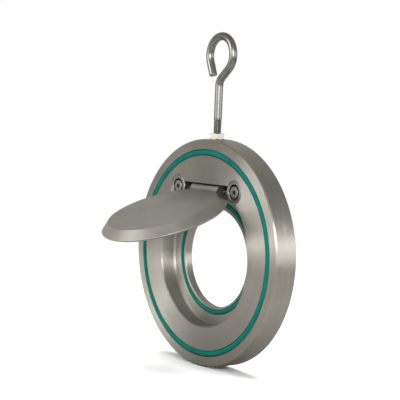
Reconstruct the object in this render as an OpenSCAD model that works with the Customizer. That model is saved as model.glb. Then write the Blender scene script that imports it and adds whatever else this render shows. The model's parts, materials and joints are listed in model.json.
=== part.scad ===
// Wafer check valve: a single disc on a hinge pin, in a thin body clamped between two pipe flanges.
// X runs across the valve along the hinge pin and +Z is up. Flow leaves the outlet face towards -Y.
// The origin is the centre of the inlet face, on the axis of the body's outside diameter.

/* [Body] */
// Outside diameter, which centres the body inside the flange bolts
body_d = 162; // [160:0.5:168]
// Thickness from face to face
body_t = 18; // [18:0.5:22]
// Chamfer on both outer edges
edge_chamfer = 1; // [0.5:0.1:1.5]
// Diameter of the port
port_d = 71; // [66:0.5:72]
// Height of the port's centre above the body axis
port_z = -4; // [-5:0.25:-3]
// Chamfer round the port on the inlet side
port_chamfer = 0.5; // [0.2:0.1:0.8]

/* [Recess] */
// Diameter of the recess that the disc closes into
recess_d = 99; // [98.5:0.5:101]
// Height of the recess's centre above the body axis
recess_z = -3; // [-3.5:0.25:-2.5]
// How far the recess is milled on from there, up towards the hinge
recess_run = 4; // [3.5:0.25:4.5]
// Thickness left between the recess floor and the inlet face
web_t = 6; // [5.75:0.25:6]
// Sloped corner between the recess wall and its floor
recess_corner = 1.25; // [1:0.25:2]
// Chamfer round the mouth of the recess
mouth_chamfer = 0.8; // [0.5:0.1:1]

/* [Seals] */
// Centreline diameter of the two face O-rings
face_ring_d = 143; // [141:0.5:145]
// Cord diameter of the face O-rings
face_cord_d = 4; // [3.5:0.1:4]
// How far the face O-rings stand proud
face_ring_proud = 1; // [0.5:0.1:1.2]
// Centreline diameter of the seat O-ring
seat_ring_d = 79; // [78.5:0.25:80]
// Height of the seat O-ring's centre above the body axis
seat_ring_z = -3.5; // [-4:0.25:-3.25]
// Cord diameter of the seat O-ring
seat_cord_d = 3.2; // [3:0.1:3.5]
// How far the seat O-ring stands proud of the recess floor
seat_ring_proud = 0.75; // [0.4:0.05:0.8]

/* [Disc] */
// Largest diameter of the disc
disc_d = 89.8; // [89.4:0.1:90.2]
// Height of the closed disc's centre above the body axis
disc_z = -1.9; // [-2.4:0.1:-1.9]
// Thickness of the disc
disc_t = 7; // [6.75:0.25:7]
// Depth of the bevel on the outlet side, measured along the axis
back_bevel = 5.8; // [4:0.1:5.8]
// How far the disc stands open from its seat, in degrees
open_angle = 70; // [0:1:80]

/* [Hinge] */
// Height of the hinge axis above the body axis
hinge_z = 44.2; // [44.2:0.1:44.8]
// Distance of the hinge axis from the inlet face
hinge_depth = 9.8; // [9.7:0.05:9.8]
// Hinge pin diameter
pin_d = 5; // [4:0.25:5]
// Hinge pin length
pin_length = 58; // [56:0.5:58]
// Radius of the rounded knuckle on the lug
knuckle_r = 5; // [4.8:0.05:5]
// Width of the lug
lug_w = 31; // [28:0.5:32]
// Height of the lug's stop pad, measured square to the disc from the hinge axis
pad_rise = 7; // [6.6:0.1:7.1]
// Distance of the stop pad's high edge from the hinge axis, measured along the disc
pad_drop = 6.2; // [5.8:0.1:6.6]
// Outside diameter of the bushes in the lug
bush_d = 7; // [6.6:0.1:7]
// Length of each bush
bush_length = 8; // [6:0.5:10]
// Width of the notch above the recess
notch_w = 51; // [50:0.5:52]

/* [Keepers] */
// Diameter of the two round keepers that hold the pin
keeper_d = 16.4; // [16:0.1:16.8]
// Distance of each keeper from the middle of the valve
keeper_x = 32.5; // [32.3:0.1:33]
// Height of the keepers above the body axis
keeper_z = 45.5; // [45:0.25:46]
// Counterbore diameter for the screw head
counterbore_d = 11; // [10:0.25:11.5]
// Screw head diameter
screw_head_d = 8.5; // [8:0.1:8.5]
// Screw head height
screw_head_h = 3.5; // [3:0.1:3.5]
// Hexagon socket size across flats
socket_af = 3; // [2.5:0.5:4]

/* [Lifting eye] */
// Diameter of the rod the eyebolt is bent from
rod_d = 5.8; // [5.5:0.1:6]
// Height of the top of the thread above the body axis
thread_top_z = 95.5; // [92:0.5:100]
// Centreline radius of the eye
eye_r = 13.2; // [12:0.1:14.5]
// Sideways offset of the eye's centre from the shank
eye_x = 1.3; // [0:0.1:2]
// Height of the eye's centre above the body axis
eye_z = 140.5; // [136:0.5:145]
// Nut size across flats
nut_af = 10; // [9.5:0.5:10]
// Nut height
nut_h = 4; // [3.2:0.1:5]

/* [Hidden] */
$fn = 96;

steel = "#968f84";
bright_steel = "#b4aea4";
dark_steel = "#77716a";
seal_teal = "#1e7668";

fit_gap = 0.03;

// Grooves are a little wider than the cord and about three quarters of it deep.
groove_side_gap = 0.2;
groove_floor_gap = 0.05;

disc_r = disc_d / 2;
seat_bevel = disc_t - back_bevel;
disc_seat_depth = web_t + seat_ring_proud + fit_gap;
disc_back_depth = disc_seat_depth + disc_t;

// The stop pad on the lug meets the top of the notch when the disc is fully open.
knuckle_gap = 0.3;
notch_top_z = hinge_z + knuckle_r + knuckle_gap;
notch_foot_z = hinge_z - 14;
relief_foot_z = hinge_z - 4.5;
relief_depth = hinge_depth - knuckle_r - knuckle_gap;
relief_w = lug_w + 3;
pad_slope = 2.8;

// Threads are plain cylinders at the pitch diameter.
screw_thread_d = 4.5;
screw_clear_d = 5.5;
eyebolt_thread_d = 5.35;

keeper_top_depth = body_t - 0.15;
counterbore_floor_depth = hinge_depth + pin_d / 2 + 0.8;
washer_t = 1.2;
screw_seat_depth = counterbore_floor_depth + washer_t;
screw_tip_depth = 1.4;
tapping_depth = 1;

rim_z = body_d / 2;
eyebolt_foot_z = rim_z - 10;
// The eye leaves its round part at these angles, to the shank and to the open tip.
eye_start = -50;
eye_end = 202;
tip_straight = 10.4;
shank_bend_r = 8;
bend_thinning = 0.06;
run_on = 0.3;

// Turns the bench frame, depth along +Z and up along +Y, into the valve's frame.
module upright() {
    rotate([90, 0, 0])
        children();
}

// A hexagonal prism, given by its size across flats.
module hexagon(across_flats, height) {
    cylinder(d = across_flats / cos(30), h = height, $fn = 6);
}

// A ring-shaped groove between two depths.
module ring_groove(centre_d, cord_d, from_depth, to_depth) {
    rotate_extrude()
        translate([(centre_d - cord_d) / 2 - groove_side_gap, from_depth])
            square([cord_d + 2 * groove_side_gap, to_depth - from_depth]);
}

// An O-ring with its cord centred at a depth.
module o_ring(centre_d, cord_d, cord_depth) {
    rotate_extrude()
        translate([centre_d / 2, cord_depth])
            circle(d = cord_d, $fn = 48);
}

// A rod along X, centred, with chamfered ends.
module cross_rod(diameter, length, chamfer) {
    r = diameter / 2;
    half = length / 2;
    rotate([0, 90, 0])
        rotate_extrude()
            polygon([
                [0, -half], [r - chamfer, -half], [r, -half + chamfer],
                [r, half - chamfer], [r - chamfer, half], [0, half]
            ]);
}

module body_blank() {
    r = body_d / 2;
    rotate_extrude($fn = 180)
        polygon([
            [0, 0], [r - edge_chamfer, 0], [r, edge_chamfer],
            [r, body_t - edge_chamfer], [r - edge_chamfer, body_t], [0, body_t]
        ]);
}

module recess_bowl(centre_z) {
    r = recess_d / 2;
    corner_r = r - recess_corner;
    mouth_r = r + mouth_chamfer;
    translate([0, centre_z, 0])
        rotate_extrude($fn = 180)
            polygon([
                [0, web_t], [corner_r, web_t], [r, web_t + recess_corner],
                [r, body_t - mouth_chamfer], [mouth_r, body_t],
                [mouth_r, body_t + 1], [0, body_t + 1]
            ]);
}

module recess_cut() {
    recess_bowl(recess_z);
    // the run towards the hinge stops at the top of the notch
    difference() {
        recess_bowl(recess_z + recess_run);
        translate([-body_d / 2, notch_top_z, 0])
            cube([body_d, body_d, body_t + 2]);
    }
}

module port_cut() {
    r = port_d / 2;
    translate([0, port_z, 0])
        rotate_extrude($fn = 180)
            polygon([
                [0, -1], [r + port_chamfer, -1], [r + port_chamfer, 0],
                [r, port_chamfer], [r, body_t], [0, body_t]
            ]);
}

module notch_cut() {
    translate([-notch_w / 2, notch_foot_z, web_t])
        cube([notch_w, notch_top_z - notch_foot_z, body_t]);
    // shallow trough behind the knuckle
    translate([-relief_w / 2, relief_foot_z, relief_depth])
        cube([relief_w, notch_top_z - relief_foot_z, body_t]);
}

module keeper_pocket_cut(side) {
    translate([side * keeper_x, keeper_z, 0]) {
        translate([0, 0, web_t])
            cylinder(d = keeper_d + 0.1, h = body_t);
        translate([0, 0, tapping_depth])
            cylinder(d = screw_thread_d + 2 * fit_gap, h = body_t);
    }
}

module seal_grooves_cut() {
    face_depth = face_cord_d - face_ring_proud + groove_floor_gap;
    seat_depth = seat_cord_d - seat_ring_proud + groove_floor_gap;
    ring_groove(face_ring_d, face_cord_d, -1, face_depth);
    ring_groove(face_ring_d, face_cord_d, body_t - face_depth, body_t + 1);
    translate([0, seat_ring_z, 0])
        ring_groove(seat_ring_d, seat_cord_d, web_t - seat_depth, web_t + 1);
}

module body() {
    color(steel)
        upright()
            difference() {
                body_blank();
                port_cut();
                recess_cut();
                notch_cut();
                for (side = [-1, 1])
                    keeper_pocket_cut(side);
                seal_grooves_cut();
                // tapped hole for the eyebolt, down from the rim
                translate([0, rim_z + 1, body_t / 2])
                    rotate([90, 0, 0])
                        cylinder(d = eyebolt_thread_d + 2 * fit_gap, h = 11.5);
            }
}

module outlet_face_seal() {
    color(seal_teal)
        upright()
            o_ring(face_ring_d, face_cord_d, body_t + face_ring_proud - face_cord_d / 2);
}

module inlet_face_seal() {
    color(seal_teal)
        upright()
            o_ring(face_ring_d, face_cord_d, face_cord_d / 2 - face_ring_proud);
}

module seat_seal() {
    color(seal_teal)
        upright()
            translate([0, seat_ring_z, 0])
                o_ring(seat_ring_d, seat_cord_d, web_t + seat_ring_proud - seat_cord_d / 2);
}

// Swings its children, drawn closed, about the hinge axis to the open position.
module swung_open() {
    translate([0, -hinge_depth, hinge_z])
        rotate([-open_angle, 0, 0])
            translate([0, hinge_depth, -hinge_z])
                children();
}

module disc_plate() {
    translate([0, disc_z, 0])
        rotate_extrude($fn = 180)
            polygon([
                [0, disc_seat_depth], [disc_r - seat_bevel, disc_seat_depth],
                [disc_r, disc_seat_depth + seat_bevel],
                [disc_r - back_bevel, disc_back_depth], [0, disc_back_depth]
            ]);
}

module disc_lug() {
    root_z = hinge_z - 14;
    pad_z = hinge_z - pad_drop;
    translate([-lug_w / 2, 0, 0])
        rotate([90, 0, 90])
            linear_extrude(lug_w)
                polygon([
                    [hinge_z, hinge_depth], [hinge_z, hinge_depth + knuckle_r],
                    [pad_z, hinge_depth + pad_rise], [pad_z - pad_slope, disc_back_depth],
                    [root_z, disc_back_depth], [root_z, disc_seat_depth],
                    [hinge_z - 3, disc_seat_depth]
                ]);
    translate([0, hinge_z, hinge_depth])
        cross_rod(2 * knuckle_r, lug_w, 0.6);
}

module disc() {
    color(steel)
        swung_open()
            upright()
                difference() {
                    union() {
                        disc_plate();
                        disc_lug();
                    }
                    translate([-lug_w / 2 - 1, hinge_z, hinge_depth])
                        rotate([0, 90, 0])
                            cylinder(d = bush_d, h = lug_w + 2);
                }
}

module hinge_bush(side) {
    inner_x = lug_w / 2 - bush_length;
    start_x = side > 0 ? inner_x : -lug_w / 2;
    color(bright_steel)
        translate([start_x, -hinge_depth, hinge_z])
            rotate([0, 90, 0])
                difference() {
                    cylinder(d = bush_d - 0.02, h = bush_length);
                    translate([0, 0, -1])
                        cylinder(d = pin_d + 2 * fit_gap, h = bush_length + 2);
                }
}

module hinge_bush_left() {
    hinge_bush(-1);
}

module hinge_bush_right() {
    hinge_bush(1);
}

module hinge_pin() {
    color(bright_steel)
        translate([0, -hinge_depth, hinge_z])
            cross_rod(pin_d, pin_length, 0.4);
}

module keeper(side) {
    r = keeper_d / 2;
    bottom_depth = web_t + fit_gap;
    color(bright_steel)
        upright()
            difference() {
                translate([side * keeper_x, keeper_z, 0])
                    rotate_extrude()
                        polygon([
                            [screw_clear_d / 2, bottom_depth], [r, bottom_depth],
                            [r, keeper_top_depth - 0.5], [r - 0.5, keeper_top_depth],
                            [counterbore_d / 2 + 0.4, keeper_top_depth],
                            [counterbore_d / 2, keeper_top_depth - 0.4],
                            [counterbore_d / 2, counterbore_floor_depth],
                            [screw_clear_d / 2, counterbore_floor_depth]
                        ]);
                // blind hole for the end of the hinge pin
                translate([side * (pin_length / 2 + 0.2), hinge_z, hinge_depth])
                    rotate([0, -side * 90, 0])
                        cylinder(d = pin_d + 2 * fit_gap, h = pin_length / 2);
            }
}

module keeper_left() {
    keeper(-1);
}

module keeper_right() {
    keeper(1);
}

// A split spring washer, flattened by the screw.
module lock_washer(side) {
    color(dark_steel)
        upright()
            translate([side * keeper_x, keeper_z, counterbore_floor_depth])
                difference() {
                    cylinder(d = 9.2, h = washer_t);
                    translate([0, 0, -1])
                        cylinder(d = 5.1, h = washer_t + 2);
                    rotate([0, 0, 60])
                        translate([0, -0.4, -1])
                            cube([6, 0.8, washer_t + 2]);
                }
}

module lock_washer_left() {
    lock_washer(-1);
}

module lock_washer_right() {
    lock_washer(1);
}

// A low-head socket cap screw through the keeper into the body.
module keeper_screw(side) {
    r = screw_head_d / 2;
    top = screw_seat_depth + screw_head_h;
    color(bright_steel)
        upright()
            translate([side * keeper_x, keeper_z, 0])
                difference() {
                    union() {
                        translate([0, 0, screw_tip_depth])
                            cylinder(d = screw_thread_d, h = screw_seat_depth - screw_tip_depth);
                        rotate_extrude()
                            polygon([
                                [0, screw_seat_depth], [r, screw_seat_depth],
                                [r, top - 0.4], [r - 0.4, top], [0, top]
                            ]);
                    }
                    translate([0, 0, top - 2.2])
                        hexagon(socket_af, 3);
                }
}

module keeper_screw_left() {
    keeper_screw(-1);
}

module keeper_screw_right() {
    keeper_screw(1);
}

// Part of a rod bent to a radius in the XZ plane, its angles taken from +X towards +Z.
// Bending thins the rod very slightly, so its ends sit inside the straights.
module bent_rod(bend_r, from_angle, to_angle) {
    rotate([90, 0, 0])
        rotate([0, 0, from_angle])
            rotate_extrude(angle = to_angle - from_angle, $fn = 120)
                translate([bend_r, 0])
                    circle(d = rod_d - bend_thinning, $fn = 48);
}

// A straight rod between two points of the XZ plane, run on a little into the bends.
module straight_rod(from, to) {
    run = to - from;
    translate([from.x, 0, from.y])
        rotate([0, 90 - atan2(run.y, run.x), 0])
            translate([0, 0, -run_on])
                cylinder(d = rod_d, h = norm(run) + 2 * run_on, $fn = 48);
}

module lifting_eyebolt() {
    eye_centre = [eye_x, eye_z];
    start_point = eye_centre + eye_r * [cos(eye_start), sin(eye_start)];
    end_point = eye_centre + eye_r * [cos(eye_end), sin(eye_end)];
    // unit direction of the straight that runs from the eye down to the shank
    slant = [sin(eye_start), -cos(eye_start)];
    corner = start_point - slant * (start_point.x / slant.x);
    tangent = shank_bend_r * tan(-eye_start / 2);
    bend_top = corner - slant * tangent;
    shank_top_z = corner.y - tangent;
    tip = end_point + tip_straight * [-sin(eye_end), cos(eye_end)];
    color(bright_steel)
        translate([0, -body_t / 2, 0]) {
            // threaded foot and plain shank
            rotate_extrude($fn = 48)
                polygon([
                    [0, eyebolt_foot_z], [eyebolt_thread_d / 2, eyebolt_foot_z],
                    [eyebolt_thread_d / 2, thread_top_z], [rod_d / 2, thread_top_z + 0.5],
                    [rod_d / 2, shank_top_z + run_on], [0, shank_top_z + run_on]
                ]);
            translate([shank_bend_r, 0, shank_top_z])
                bent_rod(shank_bend_r, 180 + eye_start, 180);
            straight_rod(bend_top, start_point);
            translate([eye_x, 0, eye_z])
                bent_rod(eye_r, eye_start, eye_end);
            straight_rod(end_point, tip);
        }
}

module eyebolt_nut() {
    color(bright_steel)
        translate([0, -body_t / 2, rim_z + fit_gap])
            difference() {
                intersection() {
                    rotate([0, 0, 22])
                        hexagon(nut_af, nut_h);
                    // corners chamfered at both ends
                    rotate_extrude()
                        polygon([
                            [0, 0], [nut_af / 2, 0], [nut_af / 2 + 0.9, 0.5],
                            [nut_af / 2 + 0.9, nut_h - 0.5], [nut_af / 2, nut_h], [0, nut_h]
                        ]);
                }
                translate([0, 0, -1])
                    cylinder(d = eyebolt_thread_d + 2 * fit_gap, h = nut_h + 2, $fn = 48);
            }
}

body();
outlet_face_seal();
inlet_face_seal();
seat_seal();
disc();
hinge_bush_left();
hinge_bush_right();
hinge_pin();
keeper_left();
keeper_right();
lock_washer_left();
lock_washer_right();
keeper_screw_left();
keeper_screw_right();
lifting_eyebolt();
eyebolt_nut();
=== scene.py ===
import json
import math

import bmesh
import bpy
from mathutils import Matrix, Quaternion, Vector


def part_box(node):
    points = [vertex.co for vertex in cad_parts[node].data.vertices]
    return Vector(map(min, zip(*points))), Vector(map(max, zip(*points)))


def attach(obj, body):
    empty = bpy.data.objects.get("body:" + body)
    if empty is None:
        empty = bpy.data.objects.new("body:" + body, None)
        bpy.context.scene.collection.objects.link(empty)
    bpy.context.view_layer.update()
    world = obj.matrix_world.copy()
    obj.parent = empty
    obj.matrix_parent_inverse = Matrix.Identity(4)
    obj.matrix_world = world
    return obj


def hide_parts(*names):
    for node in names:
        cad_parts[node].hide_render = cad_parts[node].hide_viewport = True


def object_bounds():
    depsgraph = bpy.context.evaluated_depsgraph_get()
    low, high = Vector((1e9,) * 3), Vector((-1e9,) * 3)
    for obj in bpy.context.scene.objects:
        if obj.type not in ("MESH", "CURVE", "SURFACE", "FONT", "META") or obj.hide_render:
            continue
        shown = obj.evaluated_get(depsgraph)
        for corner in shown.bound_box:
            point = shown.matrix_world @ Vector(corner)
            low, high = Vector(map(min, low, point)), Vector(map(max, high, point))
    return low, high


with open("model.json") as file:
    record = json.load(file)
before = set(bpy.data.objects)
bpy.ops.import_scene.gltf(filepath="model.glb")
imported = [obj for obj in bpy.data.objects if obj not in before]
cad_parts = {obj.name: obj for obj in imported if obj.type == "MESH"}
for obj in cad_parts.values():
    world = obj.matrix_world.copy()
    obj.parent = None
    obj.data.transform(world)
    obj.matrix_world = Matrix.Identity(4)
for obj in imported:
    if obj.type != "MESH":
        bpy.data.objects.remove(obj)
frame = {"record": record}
cad_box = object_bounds()

# Shapes are drawn in millimetres and turned into metres as each mesh is made.
# The bench frame lies flat: x across, y up the valve, z the depth from the inlet face.
MM = 0.001

# ---------------------------------------------------------------- sizes taken from the frame


def box_mm(node):
    low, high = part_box(node)
    return Vector(low) / MM, Vector(high) / MM


def size_of(node):
    low, high = box_mm(node)
    return high - low


def centre_of(node):
    low, high = box_mm(node)
    return (low + high) / 2


# the clearance left between two pieces that fit together
FIT = 0.03

mounts = {mount["name"]: mount for mount in frame["record"]["mounts"]}
hinge = frame["record"]["behaviour"]["joints"][0]

body_r = size_of("body").z / 2
body_t = size_of("body").y
port_z = mounts["port"]["pos_m"][2] / MM
port_r = mounts["port"]["dims"]["r_mm"]
hinge_depth = -hinge["pos_m"][1] / MM
hinge_z = hinge["pos_m"][2] / MM
open_angle = math.radians(-hinge["range_deg"][0])
disc_r = size_of("disc").x / 2
pin_d = size_of("hinge_pin").y
pin_length = size_of("hinge_pin").x
bush_d = size_of("hinge_bush_left").y
bush_length = size_of("hinge_bush_left").x
lug_w = 2 * box_mm("hinge_bush_right")[1].x
keeper_x = centre_of("keeper_right").x
keeper_z = centre_of("keeper_right").z
keeper_r = size_of("keeper_right").x / 2
keeper_top = -box_mm("keeper_right")[0].y
web_t = -box_mm("keeper_right")[1].y - FIT
washer_bottom = -box_mm("lock_washer_right")[1].y
washer_top = -box_mm("lock_washer_right")[0].y
screw_r = size_of("keeper_screw_right").x / 2
screw_top = -box_mm("keeper_screw_right")[0].y
screw_tip = -box_mm("keeper_screw_right")[1].y
face_cord_r = size_of("outlet_face_seal").y / 2
face_ring_r = size_of("outlet_face_seal").x / 2 - face_cord_r
seat_cord_r = size_of("seat_seal").y / 2
seat_ring_r = size_of("seat_seal").x / 2 - seat_cord_r
seat_ring_z = centre_of("seat_seal").z
rod_r = size_of("lifting_eyebolt").y / 2
nut_h = size_of("eyebolt_nut").z
nut_bottom = box_mm("eyebolt_nut")[0].z

# The rest of the design's sizes, which no box or mount states. First the body:
EDGE_CHAMFER = 1
RIM_LINE = 0.08
RIM_STEP = 0.06
RECESS_R = 49.5
RECESS_Z = -3
RECESS_RUN = 4
RECESS_CORNER = 1.25
MOUTH_CHAMFER = 0.8
PORT_CHAMFER = 0.5
SEAT_CHAMFER = 0.3
NOTCH_W = 51
NOTCH_DROP = 14
NOTCH_GAP = 0.3
RELIEF_DROP = 4.5
POCKET_GAP = 0.1
POCKET_CHAMFER = 0.25
TAP_R = 2.28
TAP_FLOOR = 1
EYE_HOLE_R = 2.7
EYE_HOLE_DEPTH = 10.5
# keeps two cuts from sharing a plane
CUT_STEP = 0.008
# how far a cutter reaches past the face it opens
PAST = 1

# the disc and its lug
DISC_Z = -1.9
DISC_T = 7
BACK_BEVEL = 5.8
SEAT_GAP = 0.03
KNUCKLE_R = 5
PAD_RISE = 7
PAD_DROP = 6.2
PAD_SLOPE = 2.8
LUG_ROOT = 14

# the keepers, lock washers and screws
SCREW_HOLE_R = 2.75
COUNTERBORE_R = 5.5
WASHER_INNER_R = 2.55
WASHER_OUTER_R = 4.6
SCREW_CREST_R = 2.45
SCREW_THREAD_DEPTH = 0.45
SCREW_PITCH = 0.8
SCREW_NECK = 0.6
SOCKET_AF = 3
SOCKET_DEPTH = 2.2

# the eyebolt and its nut
EYE_CREST_R = 2.9
EYE_THREAD_DEPTH = 0.55
EYE_PITCH = 1
EYE_FOOT = 10
THREAD_TOP_Z = 95.5
SHANK_BEND_R = 8
EYE_R = 13.2
EYE_X = 1.3
EYE_Z = 140.5
EYE_START = math.radians(-50)
EYE_END = math.radians(202)
TIP_STRAIGHT = 10.4
NUT_AF = 10
NUT_TURN = math.radians(22)
NUT_MINOR_R = 2.7
NUT_MOUTH_R = 2.95

# both threads: the shares of the pitch taken by the root's flat and by the two flanks
ROOT_FLAT = 0.12
FLANKS = 0.72
FOOT_CHAMFER = 0.8
ROD_STEPS = 48

seat_depth = -box_mm("seat_seal")[0].y + SEAT_GAP
back_depth = seat_depth + DISC_T

# ---------------------------------------------------------------- places

SIDES = ((-1, "left"), (1, "right"))
AXIS_X = Vector((1, 0, 0))
AXIS_Y = Vector((0, 1, 0))
BENCH = Matrix.Rotation(math.radians(90), 4, "X")
ACROSS_HINGE = Matrix.Translation((0, -hinge_depth, hinge_z))
MID_PLANE = Matrix.Translation((0, -body_t / 2, 0))
SWUNG_OPEN = ACROSS_HINGE @ Matrix.Rotation(-open_angle, 4, "X") @ ACROSS_HINGE.inverted()
ALONG_HINGE = ACROSS_HINGE @ Matrix.Rotation(math.radians(90), 4, "Y")


def bench_at(x, y):
    return BENCH @ Matrix.Translation((x, y, 0))


# ---------------------------------------------------------------- mesh helpers


def rounded(corners):
    """An outline from (x, y, radius) corners, each rounded to its radius."""
    steps = 4
    outline = []
    for index, (x, y, radius) in enumerate(corners):
        here = Vector((x, y))
        if radius == 0:
            outline.append(here)
            continue
        before = (Vector(corners[index - 1][:2]) - here).normalized()
        after = (Vector(corners[(index + 1) % len(corners)][:2]) - here).normalized()
        half = before.angle(after) / 2
        centre = here + (before + after).normalized() * radius / math.sin(half)
        start = here + before * radius / math.tan(half) - centre
        end = here + after * radius / math.tan(half) - centre
        sweep = math.pi - 2 * half
        for step in range(steps + 1):
            part = step / steps
            spoke = start * math.sin((1 - part) * sweep) + end * math.sin(part * sweep)
            outline.append(centre + spoke / math.sin(sweep))
    return outline


def full_turn(steps):
    """Angles in equal steps, once round."""
    return [2 * math.pi * step / steps for step in range(steps)]


def circle_outline(centre_x, centre_y, radius, steps=24):
    return [
        Vector((centre_x + radius * math.cos(turn), centre_y + radius * math.sin(turn)))
        for turn in full_turn(steps)
    ]


def lathe(outline, steps=192):
    """Turns an outline of (radius, height) points about +Z.

    An outline that starts on the axis gets flat ends, and any other is closed into a ring.
    """
    bm = bmesh.new()
    capped = outline[0][0] == 0
    rings = []
    for radius, height in (outline[1:-1] if capped else outline):
        points = [(radius * math.cos(t), radius * math.sin(t), height) for t in full_turn(steps)]
        rings.append([bm.verts.new(point) for point in points])
    skin(bm, rings, capped)
    return bm


def skin(bm, rings, capped=True):
    """Joins each ring of vertices to the next with quads, and caps the ends or joins them up."""
    followers = rings[1:] if capped else rings[1:] + rings[:1]
    for ring, follower in zip(rings, followers):
        for index, vertex in enumerate(ring):
            after = (index + 1) % len(ring)
            bm.faces.new((vertex, ring[after], follower[after], follower[index]))
    if capped:
        bm.faces.new(rings[0])
        bm.faces.new(rings[-1])


def prism(outline, low, high):
    """An outline in the XY plane, raised from one height to another."""
    bm = bmesh.new()
    skin(bm, [[bm.verts.new((x, y, height)) for x, y in outline] for height in (low, high)])
    return bm


def block(low, high):
    """A box between two opposite corners."""
    outline = [(low[0], low[1]), (high[0], low[1]), (high[0], high[1]), (low[0], high[1])]
    return prism(outline, low[2], high[2])


def solid(name, bm, place):
    """An object in metres from a mesh drawn in millimetres, moved to its place."""
    bm.transform(Matrix.Scale(MM, 4) @ place)
    bmesh.ops.recalc_face_normals(bm, faces=bm.faces)
    mesh = bpy.data.meshes.new(name)
    bm.to_mesh(mesh)
    bm.free()
    piece = bpy.data.objects.new(name, mesh)
    bpy.context.collection.objects.link(piece)
    return piece


def combine(piece, operation, others):
    """Cuts, joins or intersects a piece with others, which are used up."""
    for other in others:
        modifier = piece.modifiers.new(operation, "BOOLEAN")
        modifier.operation = operation
        modifier.solver = "EXACT"
        modifier.object = other
    depsgraph = bpy.context.evaluated_depsgraph_get()
    mesh = bpy.data.meshes.new_from_object(piece.evaluated_get(depsgraph))
    piece.modifiers.clear()
    piece.data = mesh
    for other in others:
        bpy.data.objects.remove(other)


def soften(piece, width, angle=30):
    """Rounds the edges sharper than an angle, and shades the flats evenly."""
    bevel = piece.modifiers.new("soft_edges", "BEVEL")
    bevel.width = width * MM
    bevel.segments = 2
    bevel.limit_method = "ANGLE"
    bevel.angle_limit = math.radians(angle)
    bevel.use_clamp_overlap = True
    shade_flats(piece)


def shade_flats(piece, crease=None):
    """Shades a piece smoothly, but keeps its flats flat and edges above a crease angle sharp."""
    piece.data.shade_smooth()
    if crease is not None:
        piece.data.set_sharp_from_angle(angle=math.radians(crease))
    even = piece.modifiers.new("even_shading", "WEIGHTED_NORMAL")
    even.keep_sharp = True


def outline_faces(piece, axis):
    """Cleans up a cut mesh and keeps every face that's square to an axis truly flat."""
    sliver = 0.002 * MM
    square_on = 0.9999
    bm = bmesh.new()
    bm.from_mesh(piece.data)
    bmesh.ops.remove_doubles(bm, verts=bm.verts, dist=sliver)
    bmesh.ops.dissolve_degenerate(bm, edges=bm.edges, dist=sliver)
    bm.normal_update()
    for edge in bm.edges:
        square = [abs(face.normal.dot(axis)) > square_on for face in edge.link_faces]
        if any(square) and not all(square):
            edge.smooth = False
    bm.to_mesh(piece.data)
    bm.free()


def join_frame(piece, body, node, material):
    """Puts a finished piece on its body in place of a CAD node."""
    piece.data.materials.clear()
    piece.data.materials.append(material)
    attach(piece, body)
    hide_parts(node)


# ---------------------------------------------------------------- node material helpers


# how far the painted crevice shade reaches, in metres: on most steel, and on the steel round the
# hinge pin
CREVICE_SHADE_REACH = 0.0015
HINGE_CREVICE_SHADE_REACH = 0.005


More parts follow.
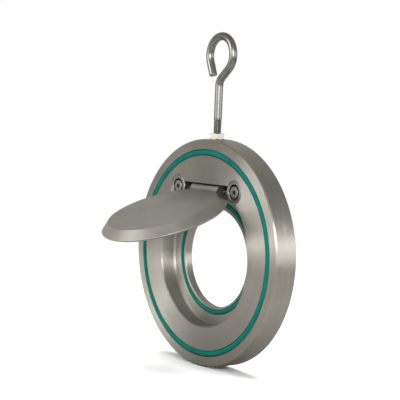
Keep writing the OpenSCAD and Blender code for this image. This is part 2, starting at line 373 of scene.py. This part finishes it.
class Nodes:
    """A short way to write a node tree: each call adds a node and returns one of its outputs."""

    def __init__(self, owner, output="ShaderNodeOutputMaterial"):
        self.owner = owner
        owner.use_nodes = True
        self.tree = owner.node_tree
        self.tree.nodes.clear()
        self.out = self.tree.nodes.new(output)

    def add(self, kind, inputs=None, output=0, **settings):
        node = self.tree.nodes.new(kind)
        for key, value in settings.items():
            setattr(node, key, value)
        for key, value in (inputs or {}).items():
            self.put(node.inputs[key], value)
        return node.outputs[output]

    def put(self, socket, value):
        if isinstance(value, bpy.types.NodeSocket):
            self.tree.links.new(value, socket)
        else:
            socket.default_value = value

    def math(self, operation, a, b=0.0, clamp=False):
        return self.add("ShaderNodeMath", {0: a, 1: b}, operation=operation, use_clamp=clamp)

    def vector(self, operation, a, b=(0, 0, 0)):
        output = "Value" if operation in ("LENGTH", "DOT_PRODUCT") else 0
        return self.add("ShaderNodeVectorMath", {0: a, 1: b}, output, operation=operation)

    def ramp(self, value, stops):
        """Maps a value through (position, brightness) stops."""
        output = self.add("ShaderNodeValToRGB", {"Fac": value})
        elements = output.node.color_ramp.elements
        while len(elements) < len(stops):
            elements.new(0.5)
        for element, (position, level) in zip(elements, stops):
            element.position = position
            element.color = (level, level, level, 1)
        return output

    def mix(self, factor, a, b, blend="MIX"):
        output = self.add("ShaderNodeMix", None, 2, data_type="RGBA", blend_type=blend)
        node = output.node
        self.put(node.inputs[0], factor)
        self.put(node.inputs[6], a)
        self.put(node.inputs[7], b)
        return output

    def between(self, factor, low, high):
        return self.add("ShaderNodeMapRange", {"Value": factor, "To Min": low, "To Max": high})

    def centred(self, value):
        """Maps -1 to 1 onto 0 to 1."""
        return self.add("ShaderNodeMath", {0: value, 1: 0.5, 2: 0.5}, operation="MULTIPLY_ADD")

    def place(self):
        return self.add("ShaderNodeTexCoord", output="Object")

    def noise(self, vector, scale, detail=3.0, roughness=0.55):
        return self.add(
            "ShaderNodeTexNoise",
            {"Vector": vector, "Scale": scale, "Detail": detail, "Roughness": roughness},
        )

    def painted_crevice_shade(self, reach=CREVICE_SHADE_REACH):
        """Painted shade: darkens the crevices narrower than its reach, by ambient occlusion in the
        colour.
        """
        open_sky = self.add("ShaderNodeAmbientOcclusion", {"Distance": reach}, "AO", samples=8)
        return self.ramp(open_sky, ((0.2, 0.3), (0.6, 1.0)))

    def painted_hinge_shade(self):
        """Painted shade: darkens the steel round the hinge pin and over the lug."""
        hinge_point = (0, -hinge_depth * MM, hinge_z * MM)
        from_hinge = self.vector("SUBTRACT", self.place(), hinge_point)
        across = self.vector("MULTIPLY", from_hinge, (0, 1, 1))
        # up to 5 mm from the pin's axis the painted shade is at its darkest, and at 12 mm it ends
        near = self.math("DIVIDE", self.vector("LENGTH", across), 20 * MM)
        return self.ramp(near, ((0.25, 0.55), (0.6, 1.0)))

    def bump(self, height, distance, strength):
        inputs = {"Height": height, "Distance": distance, "Strength": strength}
        return self.add("ShaderNodeBump", inputs)

    def surface(self, shader):
        self.put(self.out.inputs["Surface"], shader)
        return self.owner

    def finish(self, **inputs):
        named = {key.replace("_", " "): value for key, value in inputs.items()}
        return self.surface(self.add("ShaderNodeBsdfPrincipled", named))


def material_nodes(name):
    return Nodes(bpy.data.materials.new(name))


def colour(red, green, blue):
    return (red, green, blue, 1.0)


def turned_steel(name, centre, base, dark, rough, fan=0.6):
    """Steel turned on a lathe about a line along Y: fine rings, rough in patches.

    Its sheen is fanned out across the rings, the wider the nearer fan is to 1.
    """
    n = material_nodes(name)
    axis = tuple(AXIS_Y)
    offset = n.vector("SUBTRACT", n.place(), centre)
    along = n.vector("DOT_PRODUCT", offset, axis)
    axial = n.add("ShaderNodeVectorMath", {0: axis, "Scale": along}, operation="SCALE")
    radial = n.vector("SUBTRACT", offset, axial)
    radius = n.vector("LENGTH", radial)
    # feed marks: noise that changes only with the radius and the depth
    ring_place = n.add("ShaderNodeCombineXYZ", {0: radius, 1: along, 2: 0.0})
    feed = n.noise(ring_place, 2600, 2.0, 0.7)
    broad = n.noise(ring_place, 260, 2.0)
    # painted sheen: brightness noise that changes only round the axis, like the fanned highlights
    # of a turned face
    sheen_fans = n.noise(n.vector("NORMALIZE", radial), 2.2, 3.0)
    patches = n.noise(n.place(), 42, 4.0)
    stains = n.noise(n.place(), 11, 2.0)
    shade = n.math("ADD", n.math("MULTIPLY", patches, 0.35), n.math("MULTIPLY", stains, 0.25))
    shade = n.math("ADD", shade, n.math("MULTIPLY", broad, 0.15))
    shade = n.math("ADD", shade, n.math("MULTIPLY", sheen_fans, 0.25))
    tone = n.ramp(shade, ((0.34, 0.0), (0.66, 1.0)))
    # painted shade: the crevices are darkened in the base colour
    metal = n.mix(1.0, n.mix(tone, dark, base), n.painted_crevice_shade(), "MULTIPLY")
    tangent = n.add("ShaderNodeVectorMath", {0: axis, 1: radial}, operation="CROSS_PRODUCT")
    tangent = n.add(
        "ShaderNodeVectorTransform",
        {"Vector": tangent},
        vector_type="VECTOR",
        convert_from="OBJECT",
        convert_to="WORLD",
    )
    spread = n.math("MULTIPLY", n.math("SUBTRACT", patches, 0.5), 0.25)
    return n.finish(
        Base_Color=metal,
        Metallic=1.0,
        Roughness=n.math("ADD", rough, spread, True),
        Anisotropic=fan,
        Anisotropic_Rotation=0.25,
        Tangent=tangent,
        Normal=n.bump(feed, 0.00003, 0.35),
    )


def ground_steel(name, base, dark, rough, direction=(1, 0, 0), groove=0.4, shaded_at_hinge=False):
    """Steel rubbed one way: short streaks along an axis, over a matt, slightly stained ground.

    Its crevices get painted shade. Steel at the hinge also gets painted shade round the hinge pin,
    and its painted crevice shade reaches further out.
    """
    n = material_nodes(name)
    streak_length = 18
    scale = tuple(1 / streak_length if part else 1.0 for part in direction)
    streak_place = n.vector("MULTIPLY", n.place(), scale)
    streaks = n.noise(streak_place, 1500, 3.0, 0.7)
    patches = n.noise(n.place(), 55, 4.0)
    stains = n.noise(n.place(), 16, 3.0)
    shade = n.math("ADD", n.math("MULTIPLY", patches, 0.5), n.math("MULTIPLY", stains, 0.5))
    tone = n.ramp(shade, ((0.32, 0.0), (0.68, 1.0)))
    # painted shade in the crevices, reaching further on the steel round the hinge
    crevice_shade = n.painted_crevice_shade(HINGE_CREVICE_SHADE_REACH if shaded_at_hinge else CREVICE_SHADE_REACH)
    metal = n.mix(1.0, n.mix(tone, dark, base), crevice_shade, "MULTIPLY")
    # painted shade round the hinge pin
    if shaded_at_hinge:
        metal = n.mix(1.0, metal, n.painted_hinge_shade(), "MULTIPLY")
    spread = n.math("MULTIPLY", n.math("SUBTRACT", patches, 0.5), 0.2)
    return n.finish(
        Base_Color=metal,
        Metallic=1.0,
        Roughness=n.math("ADD", rough, spread, True),
        Normal=n.bump(streaks, 0.00004, groove),
    )


def seal_rubber(name):
    """Teal elastomer: satin, with a little bloom and dust that lightens it in patches."""
    n = material_nodes(name)
    patches = n.noise(n.place(), 90, 4.0)
    grain = n.noise(n.place(), 1400, 2.0)
    tone = n.ramp(patches, ((0.35, 0.0), (0.7, 1.0)))
    return n.finish(
        Base_Color=n.mix(tone, colour(0.001, 0.15, 0.12), colour(0.003, 0.205, 0.165)),
        Roughness=n.between(patches, 0.35, 0.55),
        Specular_IOR_Level=0.12,
        Normal=n.bump(grain, 0.00002, 0.35),
    )


# each steel has its own tone, a darker tone for its stains, and a roughness
STEEL = colour(0.54, 0.52, 0.475)
STEEL_DARK = colour(0.40, 0.38, 0.345)

body_steel = turned_steel("body_turned_steel", (0, 0, 0), STEEL, STEEL_DARK, 0.38, fan=0.95)
# the disc, the bushes and the pin get painted shade round the hinge
disc_steel = ground_steel("disc_ground_steel", STEEL, STEEL_DARK, 0.48, shaded_at_hinge=True)
rod_steel = ground_steel(
    "rod_steel", colour(0.34, 0.33, 0.31), colour(0.27, 0.26, 0.245), 0.28,
    direction=(0, 0, 1), groove=0.05,
)
nut_steel = ground_steel("nut_steel", colour(0.70, 0.68, 0.64), colour(0.58, 0.56, 0.52), 0.3)
bush_steel = ground_steel(
    "bush_steel", colour(0.6, 0.58, 0.54), colour(0.46, 0.44, 0.41), 0.3, shaded_at_hinge=True,
)
screw_steel = ground_steel(
    "screw_steel", colour(0.38, 0.36, 0.34), colour(0.28, 0.265, 0.25), 0.34,
)
pin_steel = ground_steel(
    "pin_steel", colour(0.5, 0.48, 0.45), colour(0.4, 0.38, 0.35), 0.3, shaded_at_hinge=True,
)
washer_steel = ground_steel("washer_steel", colour(0.4, 0.38, 0.36), colour(0.3, 0.28, 0.26), 0.35)
keeper_steels = {
    side: turned_steel(
        f"keeper_steel_{side}", (side * keeper_x * MM, 0, keeper_z * MM),
        colour(0.43, 0.41, 0.38), colour(0.32, 0.305, 0.28), 0.3,
    )
    for side, _ in SIDES
}
teal_rubber = seal_rubber("teal_seal_rubber")


# ---------------------------------------------------------------- pieces


def drill(radius, low, high, steps=48):
    """A plain round cutter along +Z."""
    return lathe([(0, low), (radius, low), (radius, high), (0, high)], steps)


def body_blank():
    """The turned disc, with a shallow line round the rim. Its outlet half is a hair smaller."""
    mid = body_t / 2
    outlet_r = body_r - RIM_STEP
    return rounded([
        (0, 0, 0), (body_r - EDGE_CHAMFER, 0, 0.6), (body_r, EDGE_CHAMFER, 0.6),
        (body_r, mid - RIM_LINE, 0), (body_r - RIM_LINE, mid, 0), (outlet_r, mid + RIM_LINE, 0),
        (outlet_r, body_t - EDGE_CHAMFER, 0.6), (outlet_r - EDGE_CHAMFER, body_t, 0.6),
        (0, body_t, 0),
    ])


def recess_cutter(notch_top):
    """The bowl the disc sits in. It runs on towards the hinge, and stops at the notch's top."""
    mouth_r = RECESS_R + MOUTH_CHAMFER
    bowl = lathe(rounded([
        (0, web_t, 0), (RECESS_R - RECESS_CORNER, web_t, 0.6),
        (RECESS_R, web_t + RECESS_CORNER, 0.8), (RECESS_R, body_t - MOUTH_CHAMFER, 0.5),
        (mouth_r + PAST, body_t + PAST, 0), (0, body_t + PAST, 0),
    ]))
    for vertex in bowl.verts:
        if vertex.co.y > CUT_STEP:
            vertex.co.y = min(vertex.co.y + RECESS_RUN, notch_top - RECESS_Z - CUT_STEP)
    return solid("recess", bowl, bench_at(0, RECESS_Z))


def port_cutter():
    outline = rounded([
        (0, -PAST, 0), (port_r + PORT_CHAMFER + PAST, -PAST, 0), (port_r, PORT_CHAMFER, 0.3),
        (port_r, web_t - SEAT_CHAMFER, 0.2), (port_r + SEAT_CHAMFER + PAST, web_t + PAST, 0),
        (0, web_t + PAST, 0),
    ])
    return solid("port", lathe(outline), bench_at(0, port_z))


def notch_cutters(notch_top):
    """The notch for the lug, and a deeper relief behind its knuckle."""
    relief_depth = hinge_depth - KNUCKLE_R - NOTCH_GAP
    relief_w = lug_w + 3
    above = body_t + PAST
    notch = block(
        (-NOTCH_W / 2, hinge_z - NOTCH_DROP, web_t + CUT_STEP), (NOTCH_W / 2, notch_top, above),
    )
    relief = block(
        (-relief_w / 2, hinge_z - RELIEF_DROP, relief_depth), (relief_w / 2, notch_top, above),
    )
    return [solid("notch", notch, BENCH), solid("relief", relief, BENCH)]


def pocket_cutters(side):
    """A keeper's pocket, its mouth chamfered, and the tapped hole in its floor."""
    place = bench_at(side * keeper_x, keeper_z)
    floor = web_t + 2 * CUT_STEP
    radius = keeper_r + POCKET_GAP
    above = body_t + PAST
    pocket = [
        (0, floor), (radius, floor), (radius, body_t - POCKET_CHAMFER),
        (radius + POCKET_CHAMFER + PAST, above), (0, above),
    ]
    return [
        solid("pocket", lathe(pocket, 64), place),
        solid("tap", drill(TAP_R, TAP_FLOOR, above), place),
    ]


def groove_cutter(ring_r, cord_r, low, high, place):
    """An O-ring's groove, with 0.2 mm of room on each side of its cord."""
    half = cord_r + 0.2
    inner, outer = ring_r - half, ring_r + half
    outline = [(inner, low), (outer, low), (outer, high), (inner, high)]
    return solid("groove", lathe(outline, 256), place)


def build_body():
    body = solid("valve_body", lathe(body_blank(), 256), BENCH)
    notch_top = hinge_z + KNUCKLE_R + NOTCH_GAP
    cutters = [recess_cutter(notch_top), port_cutter()]
    cutters += notch_cutters(notch_top)
    for side, _ in SIDES:
        cutters += pocket_cutters(side)
    groove_gap = 0.05
    face_floor = -box_mm("inlet_face_seal")[0].y + groove_gap
    seat_floor = -box_mm("seat_seal")[1].y - groove_gap
    above = body_t + PAST
    cutters += [
        groove_cutter(face_ring_r, face_cord_r, -PAST, face_floor, BENCH),
        groove_cutter(face_ring_r, face_cord_r, body_t - face_floor, above, BENCH),
        groove_cutter(
            seat_ring_r, seat_cord_r, seat_floor, web_t + PAST, bench_at(0, seat_ring_z),
        ),
    ]
    eye_hole = drill(EYE_HOLE_R, body_r - EYE_HOLE_DEPTH, body_r + PAST)
    cutters.append(solid("eye_hole", eye_hole, MID_PLANE))
    combine(body, "DIFFERENCE", cutters)
    shade_flats(body, 28)
    outline_faces(body, AXIS_Y)
    join_frame(body, "housing", "body", body_steel)


def build_o_rings():
    for name, node in (
        ("outlet_o_ring", "outlet_face_seal"),
        ("inlet_o_ring", "inlet_face_seal"),
        ("seat_o_ring", "seat_seal"),
    ):
        size, centre = size_of(node), centre_of(node)
        cord_r = size.y / 2
        outline = circle_outline(size.x / 2 - cord_r, -centre.y, cord_r)
        ring = solid(name, lathe(outline, 256), bench_at(0, centre.z))
        ring.data.shade_smooth()
        join_frame(ring, "housing", node, teal_rubber)


def lug_outline():
    """The lug's side in (y, z): a flat root, the stop pad and the knuckle round the hinge."""
    pad_y = hinge_z - PAD_DROP
    root_y = hinge_z - LUG_ROOT
    # the knuckle's arc, its angles measured from straight up; it ends on the seat's plane
    arc_start = math.pi / 2
    arc_end = -math.pi + math.asin((hinge_depth - seat_depth) / KNUCKLE_R)
    steps = 28
    corners = [
        (root_y, seat_depth, 0), (root_y, back_depth, 0), (pad_y - PAD_SLOPE, back_depth, 3.0),
        (pad_y, hinge_depth + PAD_RISE, 2.4),
    ]
    for step in range(steps + 1):
        turn = arc_start + (arc_end - arc_start) * step / steps
        up, out = KNUCKLE_R * math.cos(turn), KNUCKLE_R * math.sin(turn)
        corners.append((hinge_z + up, hinge_depth + out, 0))
    return rounded(corners)


def build_disc():
    front_bevel = DISC_T - BACK_BEVEL
    plate = rounded([
        (0, seat_depth, 0), (disc_r - front_bevel, seat_depth, 0.3),
        (disc_r, seat_depth + front_bevel, 0.5), (disc_r - BACK_BEVEL, back_depth, 0.5),
        (0, back_depth, 0),
    ])
    disc = solid("valve_disc", lathe(plate), SWUNG_OPEN @ bench_at(0, DISC_Z))
    # the lug's side is drawn in (y, z) and raised along x
    side_on = Matrix(((0, 0, 1, 0), (1, 0, 0, 0), (0, 1, 0, 0), (0, 0, 0, 1)))
    lug = prism(lug_outline(), -lug_w / 2, lug_w / 2)
    combine(disc, "UNION", [solid("lug", lug, SWUNG_OPEN @ BENCH @ side_on)])
    bore = drill(bush_d / 2, -lug_w, lug_w, 64)
    combine(disc, "DIFFERENCE", [solid("bore", bore, ALONG_HINGE)])
    soften(disc, 0.35)
    join_frame(disc, "flap", "disc", disc_steel)


def build_hinge():
    half = pin_length / 2
    pin_r = pin_d / 2
    pin = rounded([(0, -half, 0), (pin_r, -half, 0.4), (pin_r, half, 0.4), (0, half, 0)])
    rod = solid("hinge_rod", lathe(pin, 64), ALONG_HINGE)
    soften(rod, 0.05)
    join_frame(rod, "housing", "hinge_pin", pin_steel)
    inner = pin_r + FIT
    outer = bush_d / 2
    for side, word in SIDES:
        low, high = sorted((side * lug_w / 2, side * (lug_w / 2 - bush_length)))
        outline = rounded([
            (inner, low, 0.25), (outer, low, 0.15), (outer, high, 0.15), (inner, high, 0.25),
        ])
        bush = solid(f"{word}_bush", lathe(outline, 64), ALONG_HINGE)
        soften(bush, 0.05)
        join_frame(bush, "flap", f"hinge_bush_{word}", bush_steel)


def build_keepers():
    outline = rounded([
        (SCREW_HOLE_R, web_t + FIT, 0.2), (keeper_r, web_t + FIT, 0.3), (keeper_r, keeper_top, 0.5),
        (COUNTERBORE_R, keeper_top, 0.4), (COUNTERBORE_R, washer_bottom, 0.15),
        (SCREW_HOLE_R, washer_bottom, 0.15),
    ])
    for side, word in SIDES:
        place = bench_at(side * keeper_x, keeper_z)
        keeper = solid(f"{word}_keeper", lathe(outline, 96), place)
        # the blind hole goes 0.2 mm past the pin's end
        tip = Matrix.Translation((side * (pin_length / 2 + 0.2), -hinge_depth, hinge_z))
        inward = tip @ Matrix.Rotation(-side * math.radians(90), 4, "Y")
        hole = drill(pin_d / 2 + FIT, 0, pin_length / 2)
        combine(keeper, "DIFFERENCE", [solid("pin_hole", hole, inward)])
        soften(keeper, 0.1)
        join_frame(keeper, "housing", f"keeper_{word}", keeper_steels[side])
        build_lock_washer(f"{word}_spring_washer", f"lock_washer_{word}", place)
        build_screw(f"{word}_socket_screw", f"keeper_screw_{word}", place)


def build_lock_washer(name, node, place):
    """A split spring washer, pressed flat, its two cut ends raked."""
    gap_at = math.radians(60)
    half_gap = 0.1
    rake = 0.12
    section = (
        (WASHER_INNER_R, washer_bottom, -rake), (WASHER_OUTER_R, washer_bottom, -rake),
        (WASHER_OUTER_R, washer_top, rake), (WASHER_INNER_R, washer_top, rake),
    )
    bm = bmesh.new()
    steps = 64
    rings = []
    for step in range(steps + 1):
        part = step / steps
        turn = gap_at + half_gap + part * (2 * math.pi - 2 * half_gap)
        ring = []
        for radius, depth, lean in section:
            at = turn + lean / 2
            ring.append(bm.verts.new((radius * math.cos(at), radius * math.sin(at), depth)))
        rings.append(ring)
    skin(bm, rings)
    washer = solid(name, bm, place)
    soften(washer, 0.12)
    join_frame(washer, "housing", node, washer_steel)


def thread_radius(crest, depth, pitch, turn, height, fade):
    """Radius of a 60 degree thread at an angle and height, flattened at crest and root."""
    phase = (height / pitch - turn / (2 * math.pi)) % 1
    rise = (abs(2 * phase - 1) - ROOT_FLAT) / FLANKS
    return crest - depth * fade * (1 - min(max(rise, 0), 1))


def ring_at(bm, centre, across, up, radii):
    """A ring of vertices round a centre, in the plane of two unit vectors."""
    return [
        bm.verts.new(centre + (across * math.cos(turn) + up * math.sin(turn)) * radius)
        for turn, radius in zip(full_turn(len(radii)), radii)
    ]


def threaded_rings(bm, crest, depth, pitch, low, high, rows_per_pitch):
    """Rings of a threaded rod along +Z, its thread fading out at the top, its foot chamfered."""
    rings = []
    rows = round((high - low) / pitch * rows_per_pitch)
    for row in range(rows + 1):
        height = low + (high - low) * row / rows
        fade = min((high - height) / pitch, 1)
        foot = min((height - low) / FOOT_CHAMFER, 1)
        widest = crest - FOOT_CHAMFER * (1 - foot)
        radii = [
            min(thread_radius(crest, depth, pitch, turn, height, fade), widest)
            for turn in full_turn(ROD_STEPS)
        ]
        rings.append(ring_at(bm, Vector((0, 0, height)), AXIS_X, AXIS_Y, radii))
    return rings


def build_screw(name, node, place):
    """A low-head socket cap screw with a real thread."""
    bm = bmesh.new()
    rings = threaded_rings(
        bm, SCREW_CREST_R, SCREW_THREAD_DEPTH, SCREW_PITCH, screw_tip, washer_top - SCREW_NECK, 6,
    )
    head = rounded([
        (SCREW_CREST_R, washer_top, 0.15), (screw_r, washer_top, 0.15),
        (screw_r, screw_top, 0.45), (0, screw_top, 0),
    ])
    for radius, depth in head[:-1]:
        rings.append(ring_at(bm, Vector((0, 0, depth)), AXIS_X, AXIS_Y, [radius] * ROD_STEPS))
    skin(bm, rings)
    screw = solid(name, bm, place)
    hexagon = circle_outline(0, 0, SOCKET_AF / 2 / math.cos(math.radians(30)), 6)
    socket = prism(hexagon, screw_top - SOCKET_DEPTH, screw_top + PAST)
    combine(screw, "DIFFERENCE", [solid("socket", socket, place)])
    soften(screw, 0.12, 40)
    join_frame(screw, "housing", node, screw_steel)


def build_eyebolt():
    """One bent rod: a threaded foot, a straight shank, a bend and an open eye."""
    bm = bmesh.new()
    rings = threaded_rings(
        bm, EYE_CREST_R, EYE_THREAD_DEPTH, EYE_PITCH, body_r - EYE_FOOT, THREAD_TOP_Z, 8,
    )
    # the slanted part runs from the eye's circle, square to its spoke, down to the shank's axis
    start_spoke = Vector((math.cos(EYE_START), 0, math.sin(EYE_START)))
    eye_centre = Vector((EYE_X, 0, EYE_Z))
    start_point = eye_centre + start_spoke * EYE_R
    slant = Vector((math.sin(EYE_START), 0, -math.cos(EYE_START)))
    corner = start_point - slant * (start_point.x / slant.x)
    tangent = SHANK_BEND_R * math.tan(-EYE_START / 2)
    shank_top = corner.z - tangent
    # the straight shank, from just above the thread to just below the bend
    shank = (THREAD_TOP_Z + 0.4, THREAD_TOP_Z + 12, shank_top - 1)
    path = [Vector((0, 0, height)) for height in shank]
    bend_centre = Vector((SHANK_BEND_R, 0, shank_top))
    path += arc_points(bend_centre, SHANK_BEND_R, math.pi, math.pi + EYE_START, 14)
    path += arc_points(eye_centre, EYE_R, EYE_START, EYE_END, 72)
    heading = Vector((-math.sin(EYE_END), 0, math.cos(EYE_END)))
    tip = path[-1] + heading * TIP_STRAIGHT
    path.append(tip - heading * 0.7)
    for index, point in enumerate(path):
        before = path[max(index - 1, 0)]
        after = path[min(index + 1, len(path) - 1)]
        forward = (after - before).normalized()
        rings.append(ring_at(bm, point, AXIS_Y.cross(forward), AXIS_Y, [rod_r] * ROD_STEPS))
    # the sawn end's edge is rounded off: distances back from the end, and in from the side
    across = AXIS_Y.cross(heading)
    for back, inset in ((0.35, 0.12), (0.12, 0.35), (0, 0.75)):
        radii = [rod_r - inset] * ROD_STEPS
        rings.append(ring_at(bm, tip - heading * back, across, AXIS_Y, radii))
    skin(bm, rings)
    eyebolt = solid("bent_eyebolt", bm, MID_PLANE)
    shade_flats(eyebolt)
    join_frame(eyebolt, "housing", "lifting_eyebolt", rod_steel)


def arc_points(centre, radius, start, end, steps):
    """Points along an arc in the XZ plane."""
    points = []
    for step in range(steps + 1):
        turn = start + (end - start) * step / steps
        points.append(centre + Vector((math.cos(turn), 0, math.sin(turn))) * radius)
    return points


def build_nut():
    """A hex nut, its corners crowned top and bottom and its bore countersunk."""
    flat_r = NUT_AF / 2
    corner_r = flat_r / math.cos(math.radians(30))
    turns = [NUT_TURN + math.radians(60) * corner for corner in range(6)]
    hexagon = [(corner_r * math.cos(turn), corner_r * math.sin(turn)) for turn in turns]
    place = Matrix.Translation((0, -body_t / 2, nut_bottom))
    nut = solid("hex_nut", prism(hexagon, 0, nut_h), place)
    crown_r = flat_r + 0.9
    crown = rounded([
        (0, -0.01, 0), (flat_r, -0.01, 0), (crown_r, 0.5, 0), (crown_r, nut_h - 0.5, 0),
        (flat_r, nut_h + 0.01, 0), (0, nut_h + 0.01, 0),
    ])
    combine(nut, "INTERSECT", [solid("crown", lathe(crown, 96), place)])
    bore = [
        (0, -PAST), (NUT_MOUTH_R, -PAST), (NUT_MOUTH_R, 0.05), (NUT_MINOR_R, 0.5),
        (NUT_MINOR_R, nut_h - 0.5), (NUT_MOUTH_R, nut_h - 0.05), (NUT_MOUTH_R, nut_h + PAST),
        (0, nut_h + PAST),
    ]
    combine(nut, "DIFFERENCE", [solid("bore", lathe(bore, 48), place)])
    soften(nut, 0.12, 20)
    join_frame(nut, "housing", "eyebolt_nut", nut_steel)


build_body()
build_o_rings()
build_disc()
build_hinge()
build_keepers()
build_eyebolt()
build_nut()


# ---------------------------------------------------------------- stage, light and camera


# the floor's own light, in watts
FLOOR_WASH = 60

VIEW_AZIMUTH = math.radians(52)
VIEW_ELEVATION = math.radians(6.4)
VIEW_ROLL = math.radians(2.3)
VIEW_DISTANCE = 0.93
VIEW_LENS = 117
VIEW_AHEAD = Vector((-math.sin(VIEW_AZIMUTH), math.cos(VIEW_AZIMUTH), 0))
# how far out from the valve's middle plane the camera aims, in metres
AIM_OUT = 0.013

# brightness by height: 0 is straight down, 0.5 the horizon, 1 straight up
ALL_ROUND = ((0.0, 0.36), (0.42, 0.32), (0.5, 0.28), (0.64, 0.52), (0.78, 0.58), (1.0, 0.46))
HORIZON_BAND = ((0.0, 0.0), (0.42, 0.0), (0.48, 1.0), (0.6, 1.0), (0.65, 0.0), (1.0, 0.0))
BAND_LEVEL = 2.7
# brightness of each round about: 0 is the camera's side, 1 is behind the valve
REAR = ((0.0, 0.7), (0.45, 0.7), (0.6, 0.6), (0.7, 0.6), (0.9, 1.05))
SURROUND = (
    (0.0, 0.4), (0.15, 0.4), (0.25, 0.5), (0.38, 0.9), (0.5, 0.4), (0.6, 0.1), (0.7, 0.1),
    (0.8, 0.2), (1.0, 0.05),
)


def square_light(name, place, size, power):
    """A soft square lamp that faces the valve."""
    light = bpy.data.lights.new(name, "AREA")
    light.shape = "RECTANGLE"
    light.size = light.size_y = size
    light.energy = power
    lamp = bpy.data.objects.new(name, light)
    bpy.context.collection.objects.link(lamp)
    lamp.location = place
    lamp.rotation_euler = (-Vector(place)).to_track_quat("-Z", "Y").to_euler()
    return lamp


def build_floor(level):
    """A pale floor with its own wash of light, which fades into the white background."""
    mesh = bpy.data.meshes.new("studio_floor")
    bm = bmesh.new()
    bmesh.ops.create_circle(bm, cap_ends=True, radius=1.5, segments=96)
    bm.to_mesh(mesh)
    bm.free()
    floor = bpy.data.objects.new("studio_floor", mesh)
    floor.location = (0, 0, level)
    bpy.context.collection.objects.link(floor)
    n = material_nodes("pale_floor")
    distance = n.vector("LENGTH", n.place())
    fade = n.add(
        "ShaderNodeMapRange",
        {"Value": distance, "From Min": 0.2, "From Max": 0.9},
        interpolation_type="SMOOTHSTEP",
    )
    seen = n.add("ShaderNodeLightPath", output="Is Camera Ray")
    # the steel sees a greyer floor than the camera does
    tone = n.mix(seen, colour(0.28, 0.275, 0.265), colour(0.93, 0.93, 0.93))
    paint = n.add("ShaderNodeBsdfDiffuse", {"Color": tone})
    clear = n.add("ShaderNodeBsdfTransparent")
    n.surface(n.add("ShaderNodeMixShader", {0: fade, 1: paint, 2: clear}))
    floor.data.materials.append(n.owner)
    wash = square_light("floor_wash", (0, 0, 1.6), 1.6, FLOOR_WASH)
    only_floor = bpy.data.collections.new("only_floor")
    only_floor.objects.link(floor)
    wash.light_linking.receiver_collection = only_floor


def build_world():
    """White to the camera; to the steel, a soft studio with a bright band at the horizon."""
    world = bpy.data.worlds.new("studio")
    bpy.context.scene.world = world
    n = Nodes(world, "ShaderNodeOutputWorld")
    toward = n.add("ShaderNodeTexCoord", output="Generated")
    height = n.centred(n.add("ShaderNodeSeparateXYZ", {0: toward}, 2))
    band = n.ramp(height, HORIZON_BAND)
    ahead = n.centred(n.vector("DOT_PRODUCT", toward, tuple(VIEW_AHEAD)))
    round_about = n.math("MULTIPLY", n.ramp(ahead, SURROUND), BAND_LEVEL)
    lit = n.mix(1.0, band, round_about, "MULTIPLY")
    soft = n.mix(1.0, n.ramp(height, ALL_ROUND), n.ramp(ahead, REAR), "MULTIPLY")
    lit = n.mix(1.0, lit, soft, "ADD")
    lit = n.mix(1.0, lit, colour(1.0, 0.985, 0.955), "MULTIPLY")
    seen = n.add("ShaderNodeLightPath", output="Is Camera Ray")
    n.surface(n.add("ShaderNodeBackground", {"Color": n.mix(seen, lit, colour(1, 1, 1))}))


def build_camera():
    low, high = (Vector(corner) for corner in cad_box)
    back = Vector((
        math.sin(VIEW_AZIMUTH) * math.cos(VIEW_ELEVATION),
        -math.cos(VIEW_AZIMUTH) * math.cos(VIEW_ELEVATION),
        math.sin(VIEW_ELEVATION),
    ))
    pivot = Vector((0, -body_t / 2 * MM, 0))
    place = pivot + back * VIEW_DISTANCE
    camera = bpy.data.cameras.new("camera")
    camera.sensor_width = 36
    camera.lens = VIEW_LENS
    rig = bpy.data.objects.new("camera", camera)
    bpy.context.collection.objects.link(rig)
    rig.location = place
    aim = Vector((0, pivot.y - AIM_OUT, (low.z + high.z) / 2))
    turn = (aim - place).to_track_quat("-Z", "Y") @ Quaternion((0, 0, 1), VIEW_ROLL)
    rig.rotation_euler = turn.to_euler()
    bpy.context.scene.camera = rig


build_floor(cad_box[0][2])
build_world()
square_light("key", (-0.44, -1.31, 0.6), 0.6, 4)
square_light("front", (1.0, -0.78, 0.38), 0.4, 6)
build_camera()
bpy.context.scene.view_settings.view_transform = "Standard"
